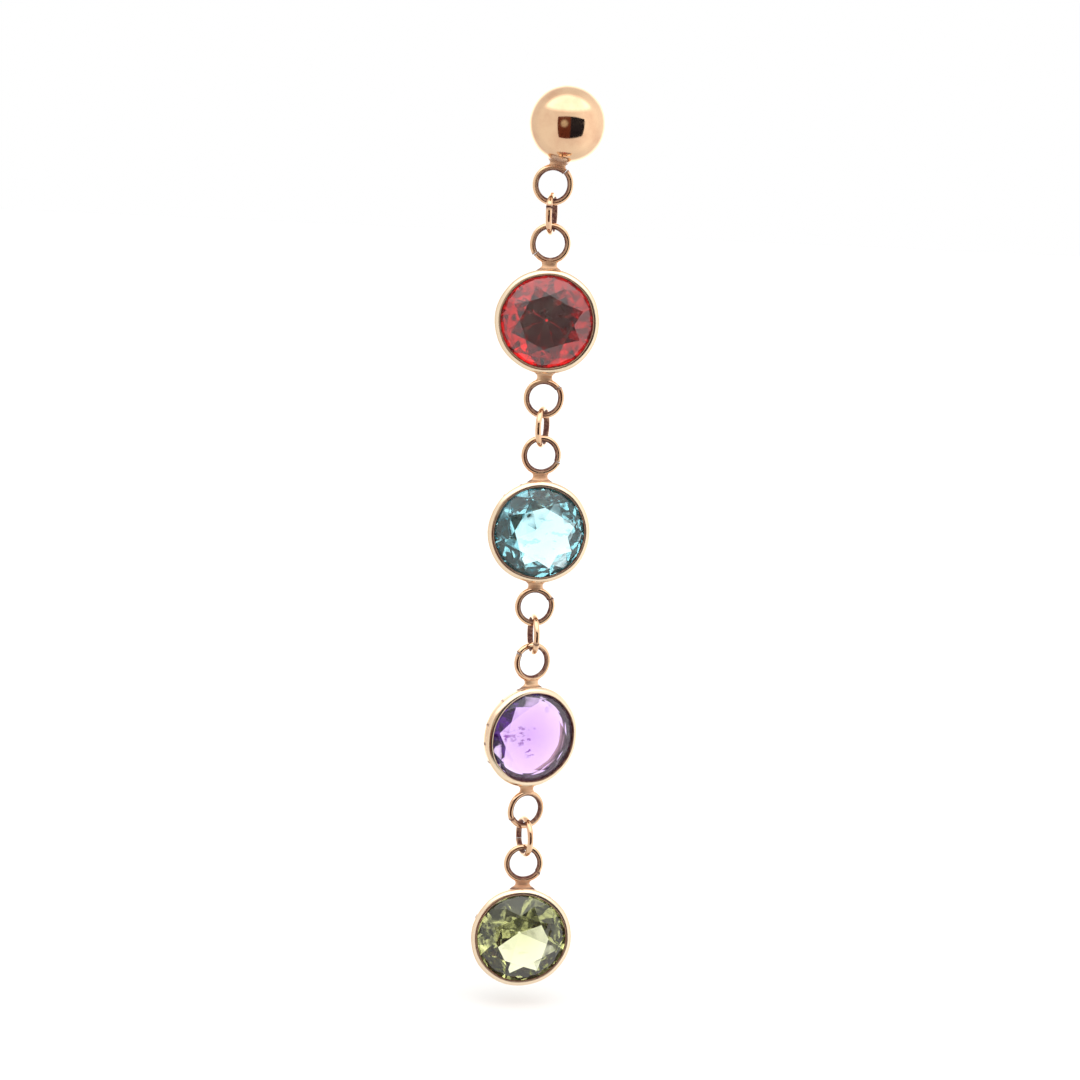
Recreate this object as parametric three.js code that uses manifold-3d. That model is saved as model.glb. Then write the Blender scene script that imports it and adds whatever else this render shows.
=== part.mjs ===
// One drop earring: a gold ball stud with four bezel-set round stones in a line under it.
// Millimetres, +Z up. The stones face -Y and the post points along +Y.
// The origin is on the post's axis, in the middle of the ear lobe that the post goes through.

import * as THREE from 'three';
import { mergeVertices } from 'three/addons/utils/BufferGeometryUtils.js';
import Module from 'manifold-3d';

const wasm = await Module();
wasm.setup();

// Ball stud
const ballDiameter = 4.1;
const studLean = 11; // degrees that the stud is turned about its post, which carries its ring to one side
const studNeckHeight = 0.1;
const studNeckWidth = 1.35;
const studNeckRoot = 0.8; // where the neck starts inside the ball, of the ball's radius
const postDiameter = 0.8;
const postLength = 10;
const postTipChamfer = 0.15;
const lobeRoom = 3.2; // from the back of the ball to the front of the nut, along the post

// Nut that holds the post behind the lobe
const nutPlateDiameter = 3.8;
const nutPlateThickness = 0.32;
const nutPlateEdge = 0.1;
const nutClearance = 0.05;
const nutCurlDiameter = 1.42;
const nutCurlWidth = 1.9;
const nutCurlSheet = 0.22;
const nutCurlTurn = 320; // degrees from the plate round to the post

// Rings and links, bent from round wire
const ringDiameter = 2.14;
const ringWire = 0.32;
const linkDiameter = 2.26;
const linkWire = 0.32;
const chainGap = 0.05; // between the two wires where a link hangs in a ring

// Cut stones, all of one diameter
const stoneDiameter = 5;
const girdleThickness = 0.1;

// Settings: a tapered cup with a burnished lip, and a ring soldered on above and below
const stoneClearance = 0.04;
const cupWall = 0.16;
const cupDepth = 1.35;
const cupStraight = 0.65; // of that, the straight band at the front
const cupRearInset = 0.35; // how much the radius narrows behind the straight band
const cupRearWall = 0.35;
const seatWidth = 0.6;
const seatRelief = 2; // degrees by which the seat falls away from the stone
const lipCover = 0.1; // how far the lip reaches over the edge of the stone
const lipThickness = 0.08;
const lipRound = 0.09;
const ringSetback = 0.56; // from the front of the lip to the plane of the rings
const tabHeight = 0.3; // between the cup and a ring
const tabWidth = 0.85;
const tabFootWidth = 1.3;
const tabThickness = 0.34;

// How finely round forms are faceted
const ballSides = 28;
const cupSides = 32;
const ringSides = 16;
const wireSides = 6;
const postSides = 16;
const curlSteps = 20;
const mergeDistance = 1e-5; // corners nearer than this are one corner
const cutMargin = 1; // how far a cut runs on beyond the solid that it goes through

const gold = { color: 0xe6bb84, roughness: 0.14, metalness: 1 };

// From the ear down. Angles are in degrees: yaw turns a piece about the vertical that it hangs on.
// Table, star and lower are shares of the stone's diameter: the flat front facet, and where the star
// facets and the lower girdle facets end.
const stations = [
  {
    name: 'garnet',
    cut: { crownAngle: 34, table: 0.57, star: 0.78, pavilionAngle: 44.6, lower: 0.3 },
    yaw: 0,
    linkYaw: -9,
    color: 0xa01418,
  },
  {
    name: 'topaz',
    cut: { crownAngle: 34, table: 0.57, star: 0.78, pavilionAngle: 29.8, lower: 0.6 },
    yaw: 10,
    linkYaw: -13,
    color: 0x8fd0e0,
  },
  {
    name: 'amethyst',
    cut: { crownAngle: 30, table: 0.72, star: 0.86, pavilionAngle: 13, lower: 0.22 },
    yaw: 28,
    linkYaw: 11,
    color: 0xa06cd0,
  },
  {
    name: 'peridot',
    cut: { crownAngle: 34, table: 0.57, star: 0.78, pavilionAngle: 36, lower: 0.8 },
    yaw: 7,
    linkYaw: 20,
    color: 0xa9bf3c,
  },
];

const radians = THREE.MathUtils.degToRad;
const facetStep = radians(45);
const halfStepCosine = Math.cos(facetStep / 2);

// A closed three.js geometry as a solid that can be joined and cut
function solidOf(geometry) {
  const bare = geometry.clone();
  bare.deleteAttribute('normal');
  bare.deleteAttribute('uv');
  const merged = mergeVertices(bare, mergeDistance);
  return new wasm.Manifold(new wasm.Mesh({
    numProp: 3,
    vertProperties: new Float32Array(merged.attributes.position.array),
    triVerts: new Uint32Array(merged.index.array),
  }));
}

function geometryOf(solid) {
  const mesh = solid.getMesh();
  const geometry = new THREE.BufferGeometry();
  geometry.setAttribute('position', new THREE.BufferAttribute(mesh.vertProperties, 3));
  geometry.setIndex(new THREE.BufferAttribute(mesh.triVerts, 1));
  return geometry;
}

function finish(name, geometry, look) {
  geometry.computeVertexNormals();
  const material = new THREE.MeshStandardMaterial({ ...look, flatShading: true });
  const mesh = new THREE.Mesh(geometry, material);
  mesh.name = name;
  return mesh;
}

// A solid of revolution about the Y axis from [radius, y] points
function turned(points, sides) {
  const profile = points.map(([radius, y]) => new THREE.Vector2(radius, y));
  return solidOf(new THREE.LatheGeometry(profile, sides));
}

// A round ring of wire standing upright, facing Y, about its own centre
function wireRing(diameter, wire) {
  const geometry = new THREE.TorusGeometry((diameter - wire) / 2, wire / 2, wireSides, ringSides);
  geometry.rotateX(Math.PI / 2);
  return geometry;
}

// A flared bridge of solder from zTop down to zFoot, wider at its foot
function solderTab(zTop, topWidth, zFoot, footWidth) {
  const outline = new THREE.Shape([
    new THREE.Vector2(-footWidth / 2, zFoot),
    new THREE.Vector2(footWidth / 2, zFoot),
    new THREE.Vector2(topWidth / 2, zTop),
    new THREE.Vector2(-topWidth / 2, zTop),
  ]);
  const geometry = new THREE.ExtrudeGeometry(outline, { depth: tabThickness, bevelEnabled: false });
  geometry.translate(0, 0, -tabThickness / 2);
  geometry.rotateX(Math.PI / 2);
  return geometry;
}

// Lengths that follow from the driving dimensions
const stoneRadius = stoneDiameter / 2;

// Radii and heights of a brilliant cut in front of and behind its girdle
function cutLengths({ crownAngle, table, star, pavilionAngle, lower }) {
  const crownSlope = Math.tan(radians(crownAngle));
  const pavilionSlope = Math.tan(radians(pavilionAngle));
  const tableRadius = stoneRadius * table;
  const starRadius = stoneRadius * star;
  const lowerRadius = stoneRadius * lower;
  const crownHeight = (stoneRadius - tableRadius) * crownSlope;
  const starHeight = crownHeight - (starRadius * halfStepCosine - tableRadius) * crownSlope;
  return {
    tableRadius,
    starRadius,
    lowerRadius,
    crownHeight,
    starHeight,
    upperGirdleSlope: starHeight / (stoneRadius - starRadius),
    lowerDepth: (stoneRadius - lowerRadius * halfStepCosine) * pavilionSlope,
    culetDepth: stoneRadius * pavilionSlope,
  };
}

const steepestCrown = Math.max(...stations.map(({ cut }) => cutLengths(cut).upperGirdleSlope));
const cupBore = stoneRadius + stoneClearance;
const cupRadius = cupBore + cupWall;
const lipUnder = -(girdleThickness / 2 + lipCover * steepestCrown + stoneClearance);
const lipFront = lipUnder - lipThickness;
const cupRear = lipFront + cupDepth;
const ringPlane = lipFront + ringSetback;
const ringToCup = ringDiameter / 2 + tabHeight + cupRadius;
const ringToLink = (ringDiameter + linkDiameter) / 2 - ringWire - linkWire - chainGap;

// A round brilliant cut about the origin, with its table facing -Y
function roundBrilliant(cut) {
  const lengths = cutLengths(cut);
  const edge = girdleThickness / 2;
  const corners = [];
  // Points of one level, spaced evenly round the axis, as indices into the list of corners
  const level = (count, turn, radius, y) => Array.from({ length: count }, (_, k) => {
    const angle = (k + turn) * (2 * Math.PI / count);
    corners.push(radius * Math.sin(angle), y, radius * Math.cos(angle));
    return corners.length / 3 - 1;
  });
  const table = level(8, 0, lengths.tableRadius, -edge - lengths.crownHeight);
  const star = level(8, 0.5, lengths.starRadius, -edge - lengths.starHeight);
  const upper = level(16, 0, stoneRadius, -edge);
  const lower = level(16, 0, stoneRadius, edge);
  const pavilion = level(8, 0.5, lengths.lowerRadius, edge + lengths.lowerDepth);
  const culet = level(1, 0, 0, edge + lengths.culetDepth)[0];
  const facets = [];
  for (let k = 0; k < 8; k += 1) {
    const next = (k + 1) % 8;
    const before = (k + 7) % 8;
    const main = 2 * k;
    const half = main + 1;
    const nextMain = (main + 2) % 16;
    if (k > 0 && k < 7) {
      facets.push([table[0], table[next], table[k]]);
    }
    facets.push([table[k], table[next], star[k]]);
    facets.push([table[k], star[k], upper[main]], [table[k], upper[main], star[before]]);
    facets.push([star[k], upper[half], upper[main]], [star[k], upper[nextMain], upper[half]]);
    for (const [from, to] of [[main, half], [half, nextMain]]) {
      facets.push([upper[from], upper[to], lower[to]], [upper[from], lower[to], lower[from]]);
    }
    facets.push([pavilion[k], lower[main], lower[half]], [pavilion[k], lower[half], lower[nextMain]]);
    facets.push([culet, lower[main], pavilion[k]], [culet, pavilion[before], lower[main]]);
  }
  const geometry = new THREE.BufferGeometry();
  geometry.setAttribute('position', new THREE.Float32BufferAttribute(corners, 3));
  geometry.setIndex(facets.flat());
  return geometry;
}

// The cup, its solder tabs and its rings as one solid, about the middle of the stone's girdle
function settingSolid(pavilionAngle, hasLowerRing) {
  const straightEnd = lipFront + cupStraight;
  const visibleRadius = stoneRadius - lipCover;
  const seatFront = girdleThickness / 2 + stoneClearance;
  const seatRear = seatFront + seatWidth * Math.tan(radians(pavilionAngle + seatRelief));
  const rearRadius = cupRadius - cupRearInset;
  const lipRoundInset = lipRound * (1 - Math.SQRT1_2);
  const outside = turned([
    [0, lipFront],
    [cupRadius - lipRound, lipFront],
    [cupRadius - lipRoundInset, lipFront + lipRoundInset],
    [cupRadius, lipFront + lipRound],
    [cupRadius, straightEnd],
    [rearRadius, cupRear],
    [0, cupRear],
  ], cupSides);
  const inside = turned([
    [0, lipFront - cutMargin],
    [visibleRadius + lipThickness / 2, lipFront - cutMargin],
    [visibleRadius + lipThickness / 2, lipFront],
    [visibleRadius, lipFront + lipThickness / 2],
    [visibleRadius, lipUnder],
    [cupBore, -seatFront],
    [cupBore, seatFront],
    [cupBore - seatWidth, seatRear],
    [rearRadius - cupRearWall, cupRear],
    [rearRadius - cupRearWall, cupRear + cutMargin],
    [0, cupRear + cutMargin],
  ], cupSides);
  let solid = outside;
  for (const side of hasLowerRing ? [1, -1] : [1]) {
    const ring = wireRing(ringDiameter, ringWire);
    ring.translate(0, ringPlane, side * ringToCup);
    const tabTop = ringToCup - (ringDiameter - ringWire) / 2;
    const tab = solderTab(tabTop, tabWidth, cupBore, tabFootWidth);
    tab.translate(0, ringPlane, 0);
    tab.rotateY(side > 0 ? 0 : Math.PI);
    solid = solid.add(solidOf(tab)).add(solidOf(ring));
  }
  return solid.subtract(inside);
}

// The ball, the ring soldered under it and the post as one solid, about the ball's centre
function ballStud() {
  const ballRadius = ballDiameter / 2;
  const postRadius = postDiameter / 2;
  const postEnd = ballRadius + postLength;
  const ball = solidOf(new THREE.SphereGeometry(ballRadius, ballSides, ballSides / 2));
  const post = turned([
    [0, 0],
    [postRadius, 0],
    [postRadius, postEnd - postTipChamfer],
    [postRadius - postTipChamfer, postEnd],
    [0, postEnd],
  ], postSides);
  const ring = wireRing(ringDiameter, ringWire);
  ring.translate(0, 0, -ballToRing);
  const neckTop = ballRadius * studNeckRoot;
  const neck = solderTab(-neckTop, studNeckWidth, -ballToRing + (ringDiameter - ringWire) / 2, tabWidth);
  ring.rotateY(radians(studLean));
  neck.rotateY(radians(studLean));
  return ball.add(post).add(solidOf(ring)).add(solidOf(neck));
}

// The nut: a round plate against the lobe and a scroll on each side that grips the post
function earNut() {
  const plateRadius = nutPlateDiameter / 2;
  const holeRadius = postDiameter / 2 + nutClearance;
  const plateBack = nutPlateThickness;
  const plate = turned([
    [holeRadius, 0],
    [plateRadius - nutPlateEdge, 0],
    [plateRadius, nutPlateEdge],
    [plateRadius, plateBack - nutPlateEdge],
    [plateRadius - nutPlateEdge, plateBack],
    [holeRadius, plateBack],
    [holeRadius, 0],
  ], cupSides);
  const outer = nutCurlDiameter / 2;
  const inner = outer - nutCurlSheet;
  const centreX = holeRadius + outer;
  const centreY = plateBack + outer - nutCurlSheet / 2;
  const start = -Math.PI / 2;
  const end = start + radians(nutCurlTurn);
  const outline = new THREE.Shape();
  outline.absarc(centreX, centreY, outer, start, end, false);
  outline.absarc(centreX, centreY, inner, end, start, true);
  const curl = new THREE.ExtrudeGeometry(outline, {
    depth: nutCurlWidth,
    bevelEnabled: false,
    curveSegments: curlSteps,
  });
  curl.translate(0, 0, -nutCurlWidth / 2);
  const otherCurl = curl.clone().rotateY(Math.PI);
  return plate.add(solidOf(curl)).add(solidOf(otherCurl));
}

const ballToRing = ballDiameter / 2 + studNeckHeight + ringDiameter / 2;
const ballY = -(lobeRoom + ballDiameter) / 2;
const earring = new THREE.Group();

const stud = finish('ball_stud', geometryOf(ballStud()), gold);
stud.position.y = ballY;
earring.add(stud);

const nut = finish('ear_nut', geometryOf(earNut()), gold);
nut.position.y = lobeRoom / 2;
earring.add(nut);

// Everything below the stud hangs on one vertical, each piece on the one above it
const drop = new THREE.Group();
drop.position.set(-ballToRing * Math.sin(radians(studLean)), ballY, 0);
earring.add(drop);

let ringHeight = -ballToRing * Math.cos(radians(studLean));
stations.forEach((station, index) => {
  const hasLowerRing = index < stations.length - 1;
  const linkHeight = ringHeight - ringToLink;
  const link = finish(`link_${index + 1}`, wireRing(linkDiameter, linkWire), gold);
  link.position.z = linkHeight;
  link.rotation.z = radians(90 + station.linkYaw);
  drop.add(link);

  const topRingHeight = linkHeight - ringToLink;
  const pendant = new THREE.Group();
  pendant.position.z = topRingHeight - ringToCup;
  pendant.rotation.z = radians(station.yaw);
  drop.add(pendant);

  const solid = settingSolid(station.cut.pavilionAngle, hasLowerRing);
  const setting = finish(`${station.name}_setting`, geometryOf(solid), gold);
  setting.position.y = -ringPlane;
  const look = { color: station.color, roughness: 0.03, metalness: 0 };
  const stone = finish(`${station.name}_stone`, roundBrilliant(station.cut), look);
  stone.position.y = -ringPlane;
  pendant.add(setting, stone);

  ringHeight = topRingHeight - 2 * ringToCup;
});

export default earring;
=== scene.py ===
"""Builds the looks of a drop earring: a gold ball stud with four bezel-set stones hanging in a line.

Metres, +Z up. The stones face -Y and the post points along +Y. The origin is on the post's axis, in the
middle of the ear lobe.
"""

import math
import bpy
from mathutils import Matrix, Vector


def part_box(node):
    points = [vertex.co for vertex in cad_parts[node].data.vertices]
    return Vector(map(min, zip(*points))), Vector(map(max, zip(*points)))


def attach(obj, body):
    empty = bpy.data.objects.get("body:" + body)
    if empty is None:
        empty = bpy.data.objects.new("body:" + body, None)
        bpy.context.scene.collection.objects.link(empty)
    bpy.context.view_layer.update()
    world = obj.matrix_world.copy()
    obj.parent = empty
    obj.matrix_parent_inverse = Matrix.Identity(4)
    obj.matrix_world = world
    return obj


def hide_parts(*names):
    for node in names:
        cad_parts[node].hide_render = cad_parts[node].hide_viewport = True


bl_info = {
    "name": "Drop earring",
    "version": (1, 0, 0),
    "blender": (4, 5, 0),
    "location": "3D View > Sidebar > Earring",
    "description": "Builds a ball stud with four bezel-set stones, and a plain studio round it",
    "category": "Object",
}

import bmesh
import bpy
from bpy.props import FloatProperty, FloatVectorProperty, IntProperty, PointerProperty
from mathutils import Matrix, Vector

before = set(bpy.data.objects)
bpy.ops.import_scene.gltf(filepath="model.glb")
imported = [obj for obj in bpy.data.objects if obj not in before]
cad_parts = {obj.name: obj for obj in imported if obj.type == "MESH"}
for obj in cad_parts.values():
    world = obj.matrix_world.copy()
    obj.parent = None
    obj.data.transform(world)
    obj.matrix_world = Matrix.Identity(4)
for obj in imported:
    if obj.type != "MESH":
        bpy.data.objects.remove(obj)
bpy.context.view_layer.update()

# The order in which the stones hang
STONES = ("garnet", "topaz", "amethyst", "peridot")

# Turns of the links in degrees, and where each seam lies, from the right of a ring round through its bottom
LINK_YAWS = (-9, -13, 11, 20)
LINK_SEAMS = (200, 35, 160, 20)
RING_SEAMS = (143, -38, 20, -28, -150, 150, 30)
STUD_SEAM = -60

# Roughness, and height of the swirls in metres, of each surface of the gold
METALS = {
    "polished_gold": (0.07, 0.0000015),
    "worked_gold": (0.08, 0.000003),
    "gold_solder": (0.46, 0.000008),
}

# A brilliant cut repeats eight times round its axis
FACET_STEP = math.pi / 4
HALF_STEP_COSINE = math.cos(FACET_STEP / 2)


def length(name, description, default):
    """A length in metres for the panel."""
    return FloatProperty(
        name=name, description=description, default=default, min=0.0, precision=5, unit="LENGTH"
    )


def angle(name, description, degrees):
    """An angle for the panel, given in degrees and kept in radians."""
    return FloatProperty(
        name=name, description=description, default=math.radians(degrees), unit="ROTATION"
    )


def share(name, description, default):
    """A share from 0 to 1 for the panel."""
    return FloatProperty(
        name=name, description=description, default=default, min=0.0, max=1.0, subtype="FACTOR"
    )


def colour(name, description, default):
    """A linear colour for the panel."""
    return FloatVectorProperty(
        name=name, description=description, default=default, size=3, min=0.0, max=1.0, subtype="COLOR"
    )


def number(name, description, default):
    """A plain number for the panel."""
    return FloatProperty(name=name, description=description, default=default, min=0.0)


class EarringStud(bpy.types.PropertyGroup):
    """Sizes of the ball, its post and the nut"""

    ball_diameter: length("Ball diameter", "Diameter of the ball on the ear", 0.0041)
    lean: angle("Lean", "How far the stud is turned about its post", 11.0)
    neck_height: length("Neck height", "Gap between the ball and its ring, filled with solder", 0.0001)
    neck_width: length("Neck width", "Width of the solder where it meets the ball", 0.00135)
    stain: share("Heat stain", "How dark the ball is stained round its solder", 0.65)
    post_diameter: length("Post diameter", "Diameter of the post through the ear", 0.0008)
    post_length: length("Post length", "From the back of the ball to the tip", 0.010)
    lobe_room: length("Lobe room", "From the back of the ball to the nut", 0.0032)
    plate_diameter: length("Nut diameter", "Diameter of the nut's plate", 0.0038)
    plate_thickness: length("Nut thickness", "Thickness of the nut's plate", 0.00032)
    curl_diameter: length("Curl diameter", "Diameter of each scroll on the nut", 0.00142)
    curl_width: length("Curl width", "Width of each scroll on the nut", 0.0019)
    curl_sheet: length("Curl sheet", "Thickness of the sheet that is curled", 0.00022)


class EarringChain(bpy.types.PropertyGroup):
    """Sizes of the rings and links"""

    ring_diameter: length("Ring diameter", "Outside diameter of a soldered ring", 0.00214)
    link_diameter: length("Link diameter", "Outside diameter of a loose link", 0.00226)
    wire: length("Wire", "Diameter of the wire", 0.00032)
    gap: length("Gap", "Between the two wires where a link hangs in a ring", 0.00005)
    seam: share("Seam", "Share of a ring's turn that its seam leaves open", 0.004)
    spring: share("Spring", "How far the end of a ring stands out, as a share of its radius", 0.045)


class EarringSetting(bpy.types.PropertyGroup):
    """Sizes of the cups that hold the stones"""

    wall: length("Wall", "Thickness of the cup's band", 0.00016)
    clearance: length("Clearance", "Gap between a stone and its cup", 0.00004)
    depth: length("Depth", "From the front of the lip to the back of the cup", 0.00135)
    straight: length("Straight band", "Part of the depth that doesn't narrow", 0.00065)
    rear_inset: length("Rear inset", "How much the radius narrows to the back", 0.00035)
    rear_wall: length("Rear wall", "Thickness of the rim at the back", 0.00035)
    seat_width: length("Seat width", "Width of the ledge under the stone", 0.0006)
    lip_cover: length("Lip cover", "How far the lip reaches over the stone", 0.0001)
    lip_thickness: length("Lip thickness", "Thickness of the lip over the stone", 0.00008)
    lip_slope: length("Lip slope", "How far the lip's face falls back to its outer edge", 0.00019)
    lip_roll: length("Lip roll", "How far the lip's outer edge stands out from the band", 0.000045)
    ring_setback: length("Ring setback", "From the front of the lip to the rings", 0.00056)
    tab_height: length("Solder height", "Gap between the cup and a ring, filled with solder", 0.0003)
    tab_width: length("Solder waist", "Width of the solder at its waist", 0.00085)
    tab_foot: length("Solder foot", "Width of the solder on the cup", 0.0013)
    tab_thickness: length("Solder thickness", "Thickness of the solder from front to back", 0.00034)


def stone_group(label, cut, turns, tint, density, index, haze, feathers):
    """A PropertyGroup with the cut, turns in degrees, colour, refraction and flaws of one stone."""
    fields = {
        "crown": angle("Crown angle", "Slope of the main facets in front", cut["crown"]),
        "table": share("Table", "Diameter of the flat front facet, of the stone's", cut["table"]),
        "star": share("Star facets", "Where the star facets end, of the stone's diameter", cut["star"]),
        "pavilion": angle("Pavilion angle", "Slope of the main facets behind", cut["pavilion"]),
        "lower": share("Lower facets", "Where the lower facets end, of the stone's diameter", cut["lower"]),
        "yaw": angle("Turn", "Turn of the setting about the vertical", turns["yaw"]),
        "twist": angle("Twist", "Turn of the stone in its cup", turns["twist"]),
        "tint": colour("Colour", "Colour that light takes in the stone", tint),
        "density": number("Depth of colour", "Strength of the colour, for each metre", density),
        "index": number("Index of refraction", "How strongly the stone bends light", index),
        "haze": share("Haze", "How much light the worn surface scatters", haze),
        "feathers": share("Feathers", "How dark the small flaws in the stone are", feathers),
    }
    members = {"__annotations__": fields, "__doc__": label}
    return type(f"Earring{label}", (bpy.types.PropertyGroup,), members)


EarringGarnet = stone_group(
    "Garnet",
    {"crown": 34.0, "table": 0.57, "star": 0.78, "pavilion": 44.6, "lower": 0.3},
    {"yaw": 0.0, "twist": 4.0},
    (0.84, 0.01, 0.03), 1500.0, 1.76, 0.04, 0.0,
)
EarringTopaz = stone_group(
    "Topaz",
    {"crown": 34.0, "table": 0.57, "star": 0.78, "pavilion": 29.8, "lower": 0.6},
    {"yaw": 10.0, "twist": 6.0},
    (0.0, 0.62, 0.70), 215.0, 1.62, 0.03, 0.5,
)
EarringAmethyst = stone_group(
    "Amethyst",
    {"crown": 30.0, "table": 0.72, "star": 0.86, "pavilion": 13.0, "lower": 0.22},
    {"yaw": 28.0, "twist": 34.0},
    (0.48, 0.135, 0.666), 1200.0, 1.545, 0.05, 1.0,
)
EarringPeridot = stone_group(
    "Peridot",
    {"crown": 34.0, "table": 0.57, "star": 0.78, "pavilion": 36.0, "lower": 0.8},
    {"yaw": 7.0, "twist": -5.0},
    (0.50, 0.52, 0.05), 330.0, 1.67, 0.02, 0.25,
)


class EarringStones(bpy.types.PropertyGroup):
    """The four stones"""

    diameter: length("Diameter", "Diameter of every stone", 0.005)
    girdle: length("Girdle", "Thickness of the stones' edge", 0.0001)
    waviness: length("Waviness", "Height of the waves that polishing leaves on the facets", 0.00004)
    culet: length("Culet", "Width of the tiny facet at the stones' back", 0.00016)
    garnet: PointerProperty(type=EarringGarnet)
    topaz: PointerProperty(type=EarringTopaz)
    amethyst: PointerProperty(type=EarringAmethyst)
    peridot: PointerProperty(type=EarringPeridot)


class EarringFinish(bpy.types.PropertyGroup):
    """Colours of the metal and the studio"""

    gold: colour("Gold", "Polished gold", (0.92, 0.62, 0.385))
    gold_deep: colour("Deeper gold", "Redder gold in the worn and rolled places", (0.79, 0.47, 0.29))
    # Paler gold painted on the lips and bands of the cups as a painted highlight
    painted_highlight_gold: colour("Pale gold", "Burnished gold on the lips of the cups", (1.0, 0.80, 0.57))
    # This dark colour is patina in crevices and also painted shade in the gaps round the stones, under the
    # lips and inside the cups
    patina_and_shade: colour("Patina", "What has settled in the crevices", (0.095, 0.017, 0.013))
    floor: colour("Floor", "Colour of the floor", (0.90, 0.90, 0.89))
    card: colour("Dark card", "Dark card round the camera that the metal mirrors", (0.015, 0.015, 0.022))


class EarringProperties(bpy.types.PropertyGroup):
    """All that a user would change on the earring"""

    stud: PointerProperty(type=EarringStud)
    chain: PointerProperty(type=EarringChain)
    setting: PointerProperty(type=EarringSetting)
    stones: PointerProperty(type=EarringStones)
    finish: PointerProperty(type=EarringFinish)
    round_sides: IntProperty(
        name="Round sides", description="Sides of a turned piece", default=96, min=24, max=256
    )


class Cut:
    """Heights and radii of a brilliant cut that follow from its angles and shares."""

    def __init__(self, stones, name):
        look = getattr(stones, name)
        slope = math.tan(look.crown)
        self.radius = stones.diameter / 2
        self.edge = stones.girdle / 2
        self.table_radius = self.radius * look.table
        self.crown_height = (self.radius - self.table_radius) * slope
        self.star_radius = self.radius * look.star
        star_run = self.star_radius * HALF_STEP_COSINE - self.table_radius
        self.star_height = self.crown_height - star_run * slope
        self.upper_slope = self.star_height / (self.radius - self.star_radius)
        self.pavilion_slope = math.tan(look.pavilion)
        self.lower_radius = self.radius * look.lower
        self.lower_depth = (self.radius - self.lower_radius * HALF_STEP_COSINE) * self.pavilion_slope
        self.culet_radius = stones.culet / 2


class Layout:
    """Lengths and places that follow from the panel's sizes."""

    def __init__(self, settings):
        stud, chain, cup, stones = settings.stud, settings.chain, settings.setting, settings.stones
        self.stone_radius = stones.diameter / 2
        upper_slope = max(Cut(stones, name).upper_slope for name in STONES)
        self.bore = self.stone_radius + cup.clearance
        self.cup_radius = self.bore + cup.wall
        self.lip_under = -(stones.girdle / 2 + cup.lip_cover * upper_slope + cup.clearance)
        self.lip_front = self.lip_under - cup.lip_thickness
        self.cup_rear = self.lip_front + cup.depth
        self.ring_plane = self.lip_front + cup.ring_setback
        self.ring_to_cup = chain.ring_diameter / 2 + cup.tab_height + self.cup_radius
        self.ring_to_link = (chain.ring_diameter + chain.link_diameter) / 2 - 2 * chain.wire - chain.gap
        self.ball_radius = stud.ball_diameter / 2
        self.ball_y = -(stud.lobe_room + stud.ball_diameter) / 2
        self.ball_to_ring = self.ball_radius + stud.neck_height + chain.ring_diameter / 2
        self.ball_centre = Vector((0.0, self.ball_y, 0.0))
        self.chain_x = -self.ball_to_ring * math.sin(stud.lean)
        self.stud_ring = Vector((self.chain_x, self.ball_y, -self.ball_to_ring * math.cos(stud.lean)))
        self.links = []
        self.rings = []
        self.cups = {}
        height = self.stud_ring.z
        for name in STONES:
            link = height - self.ring_to_link
            top_ring = link - self.ring_to_link
            cup_centre = top_ring - self.ring_to_cup
            bottom_ring = cup_centre - self.ring_to_cup
            self.links.append(Vector((self.chain_x, self.ball_y, link)))
            self.rings.append((name, Vector((self.chain_x, self.ball_y, top_ring))))
            if name != STONES[-1]:
                self.rings.append((name, Vector((self.chain_x, self.ball_y, bottom_ring))))
            self.cups[name] = Vector((self.chain_x, self.ball_y, cup_centre))
            height = bottom_ring

    def girdle_place(self, name, yaw):
        """Turns a point about a stone's girdle into the row frame."""
        turn = Matrix.Rotation(yaw, 4, "Z")
        forward = Matrix.Translation(Vector((0.0, -self.ring_plane, 0.0)))
        return Matrix.Translation(self.cups[name]) @ turn @ forward


# Mesh helpers


def add_mesh(name, points, faces, **layers):
    """A mesh from points and faces, with named values at each point."""
    mesh = bpy.data.meshes.new(name)
    mesh.from_pydata([tuple(point) for point in points], [], faces)
    for layer_name, values in layers.items():
        layer = mesh.attributes.new(layer_name, "FLOAT", "POINT")
        layer.data.foreach_set("value", values)
    mesh.update()
    return mesh


def add_object(name, mesh, body, materials, replaces=()):
    """Links a finished mesh at the origin, and ties it to a body of the CAD model."""
    piece = bpy.data.objects.new(name, mesh)
    bpy.context.scene.collection.objects.link(piece)
    mesh.materials.clear()
    for material in materials:
        mesh.materials.append(material)
    if replaces:
        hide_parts(*replaces)
    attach(piece, body)
    return piece


def lathe(profile, sides, closed=True, wobble=None):
    """Points and faces of a profile of (radius, y) turned about the Y axis. The profile runs so that its
    outside is on the left when it is read towards +Y. A radius of 0 makes a pole."""
    points, faces, rows = [], [], []
    for index, (radius, y) in enumerate(profile):
        if radius == 0:
            points.append(Vector((0.0, y, 0.0)))
            rows.append([len(points) - 1] * sides)
            continue
        row = []
        for k in range(sides):
            turn = 2 * math.pi * k / sides
            reach = radius + (wobble(turn, index) if wobble else 0.0)
            points.append(Vector((reach * math.sin(turn), y, reach * math.cos(turn))))
            row.append(len(points) - 1)
        rows.append(row)
    pairs = list(zip(rows, rows[1:]))
    if closed:
        pairs.append((rows[-1], rows[0]))
    for near, far in pairs:
        for k in range(sides):
            n = (k + 1) % sides
            corners = [near[k], near[n], far[n], far[k]]
            face = [c for i, c in enumerate(corners) if c != corners[i - 1]]
            if len(face) > 2:
                faces.append(face)
    return points, faces


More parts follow.
